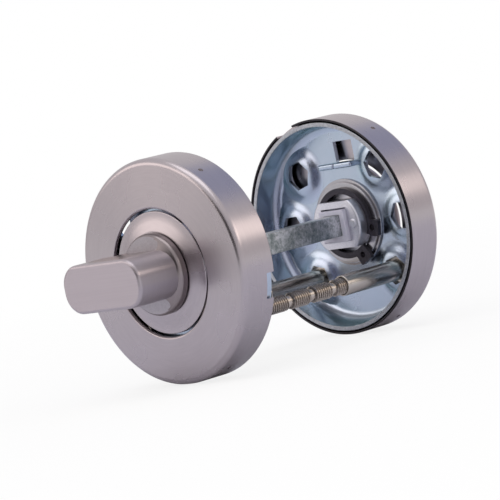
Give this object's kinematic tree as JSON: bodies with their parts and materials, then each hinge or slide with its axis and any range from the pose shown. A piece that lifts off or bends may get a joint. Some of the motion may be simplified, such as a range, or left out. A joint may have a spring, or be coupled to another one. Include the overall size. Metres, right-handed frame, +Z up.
{
  "type": "bathroom thumb turn lock",
  "caption": "Round thumb turn set for a bathroom door: lever turn and coin release on two pressed roses, joined by a square spindle and two screws with sleeve nuts.",
  "frame": {"origin": "on the axis of the square spindle, midway between the open rims of the two roses, in the middle of the door", "axes": "+Y along the spindle from the thumb turn to the coin release, +Z up, +X to the right as seen from the turn side"},
  "size_m": [0.052, 0.084, 0.052],
  "materials": {
    "satin_stainless": "satin brushed stainless steel",
    "zinc_plated_sheet": "bright blue zinc plating on pressed steel",
    "zinc_plated_bar": "zinc plating, dull and speckled",
    "polished_steel": "bright turned steel",
    "screw_steel": "bright rolled steel",
    "nickel_plated_steel": "bright nickel plating",
    "black_spring_steel": "phosphated spring steel",
    "white_nylon": "moulded natural nylon"
  },
  "bodies": {
    "turn_rose": {"turn_cover": "satin_stainless", "turn_plate": "zinc_plated_sheet", "turn_flange_bush": "satin_stainless", "turn_large_washer": "polished_steel", "turn_small_washer": "polished_steel"},
    "thumb_turn": {"thumb_turn_knob": "satin_stainless", "turn_insert": "white_nylon", "turn_circlip": "black_spring_steel"},
    "screw_left": {"screw_left": "screw_steel"},
    "screw_right": {"screw_right": "screw_steel"},
    "release_rose": {"release_cover": "satin_stainless", "release_plate": "zinc_plated_sheet", "release_flange_bush": "satin_stainless", "release_large_washer": "polished_steel", "release_small_washer": "polished_steel", "sleeve_nut_left": "nickel_plated_steel", "sleeve_nut_right": "nickel_plated_steel"},
    "release_turn": {"coin_release": "satin_stainless", "release_insert": "white_nylon", "release_circlip": "black_spring_steel", "spindle": "zinc_plated_bar"}
  },
  "joints": [
    {"name": "thumb_turn_hinge", "type": "hinge", "parent": "turn_rose", "child": "thumb_turn", "pos_m": [0, -0.033, 0], "axis": [0, 1, 0], "range_deg": [0, 90]},
    {"name": "screw_left_spin", "type": "hinge", "parent": "turn_rose", "child": "screw_left", "pos_m": [-0.01273, 0, -0.01273], "axis": [0, 1, 0], "range_deg": [-1801, 5660]},
    {"name": "screw_right_spin", "type": "hinge", "parent": "turn_rose", "child": "screw_right", "pos_m": [0.01273, 0, -0.01273], "axis": [0, 1, 0], "range_deg": [-1801, 5660]},
    {"name": "release_rose_slide", "type": "slide", "parent": "turn_rose", "child": "release_rose", "axis": [0, 1, 0], "range_m": [-0.011, 0.0035]},
    {"name": "coin_release_hinge", "type": "hinge", "parent": "release_rose", "child": "release_turn", "pos_m": [0, 0.033, 0], "axis": [0, 1, 0], "range_deg": [0, 90]}
  ],
  "couplings": [
    {"joint": "coin_release_hinge", "follows": "thumb_turn_hinge", "ratio": 1},
    {"joint": "screw_left_spin", "follows": "release_rose_slide", "rad_per_m": -8976},
    {"joint": "screw_right_spin", "follows": "release_rose_slide", "rad_per_m": -8976}
  ]
}
